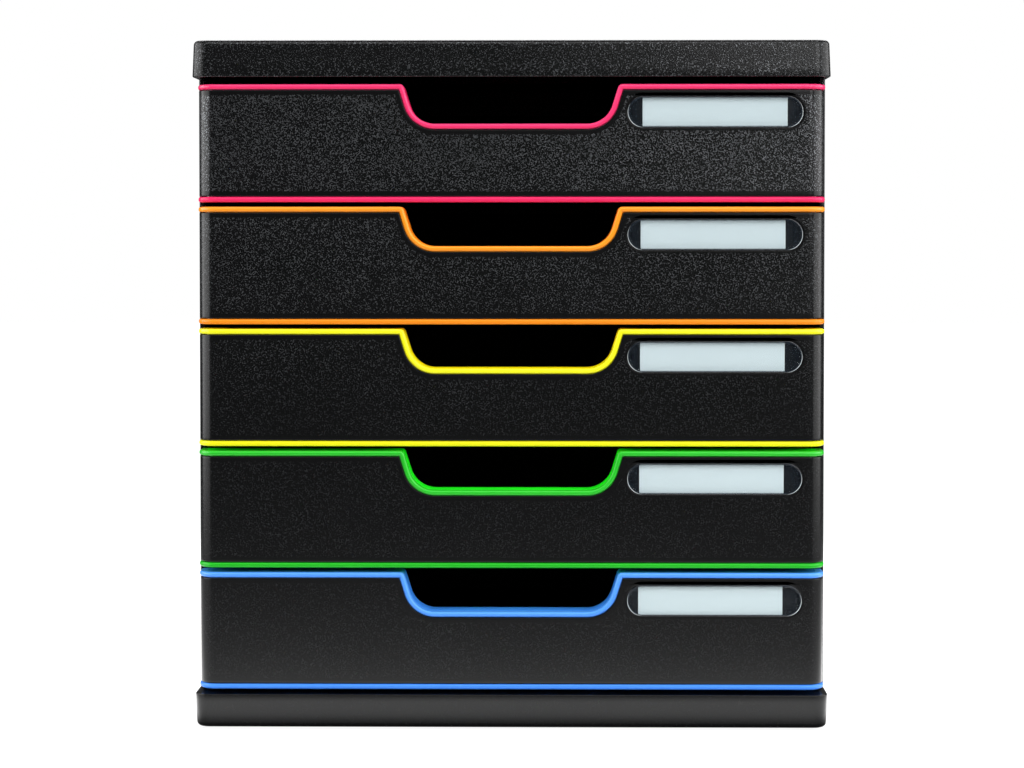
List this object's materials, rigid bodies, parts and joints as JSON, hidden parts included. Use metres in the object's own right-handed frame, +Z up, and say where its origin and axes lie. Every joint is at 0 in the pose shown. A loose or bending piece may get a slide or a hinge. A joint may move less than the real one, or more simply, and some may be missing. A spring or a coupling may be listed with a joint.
{
  "type": "plastic drawer tower",
  "caption": "Desktop tower of closed sliding paper drawers in a black plastic case, with coloured beads, finger notches and label windows.",
  "frame": {"origin": "on the floor, under the middle of the tower's outer box", "axes": "+Z up; the drawer fronts face -Y and the drawers pull out along -Y; +X is to the right seen from the front"},
  "size_m": [0.29, 0.35, 0.3137],
  "materials": {
    "case_black": "satin",
    "tray_black": "satin",
    "fascia_black": "matte",
    "trim_pink": "gloss",
    "trim_orange": "gloss",
    "trim_yellow": "gloss",
    "trim_green": "gloss",
    "trim_blue": "gloss",
    "label_paper": "matte",
    "label_clear": "gloss",
    "foot_rubber": "matte"
  },
  "bodies": {
    "case": {"lid": "case_black", "base": "case_black", "left_side_panel": "case_black", "right_side_panel": "case_black", "back_panel": "case_black", "rubber_feet": "foot_rubber"},
    "drawer_1": {"drawer_1_tray": "tray_black", "drawer_1_trim": "trim_pink", "drawer_1_fascia": "fascia_black", "drawer_1_label_card": "label_paper", "drawer_1_label_window": "label_clear"},
    "drawer_2": {"drawer_2_tray": "tray_black", "drawer_2_trim": "trim_orange", "drawer_2_fascia": "fascia_black", "drawer_2_label_card": "label_paper", "drawer_2_label_window": "label_clear"},
    "drawer_3": {"drawer_3_tray": "tray_black", "drawer_3_trim": "trim_yellow", "drawer_3_fascia": "fascia_black", "drawer_3_label_card": "label_paper", "drawer_3_label_window": "label_clear"},
    "drawer_4": {"drawer_4_tray": "tray_black", "drawer_4_trim": "trim_green", "drawer_4_fascia": "fascia_black", "drawer_4_label_card": "label_paper", "drawer_4_label_window": "label_clear"},
    "drawer_5": {"drawer_5_tray": "tray_black", "drawer_5_trim": "trim_blue", "drawer_5_fascia": "fascia_black", "drawer_5_label_card": "label_paper", "drawer_5_label_window": "label_clear"}
  },
  "joints": [
    {"name": "drawer_1_slide", "type": "slide", "parent": "case", "child": "drawer_1", "axis": [0, -1, 0], "range_m": [0, 0.24]},
    {"name": "drawer_2_slide", "type": "slide", "parent": "case", "child": "drawer_2", "axis": [0, -1, 0], "range_m": [0, 0.24]},
    {"name": "drawer_3_slide", "type": "slide", "parent": "case", "child": "drawer_3", "axis": [0, -1, 0], "range_m": [0, 0.24]},
    {"name": "drawer_4_slide", "type": "slide", "parent": "case", "child": "drawer_4", "axis": [0, -1, 0], "range_m": [0, 0.24]},
    {"name": "drawer_5_slide", "type": "slide", "parent": "case", "child": "drawer_5", "axis": [0, -1, 0], "range_m": [0, 0.24]}
  ]
}
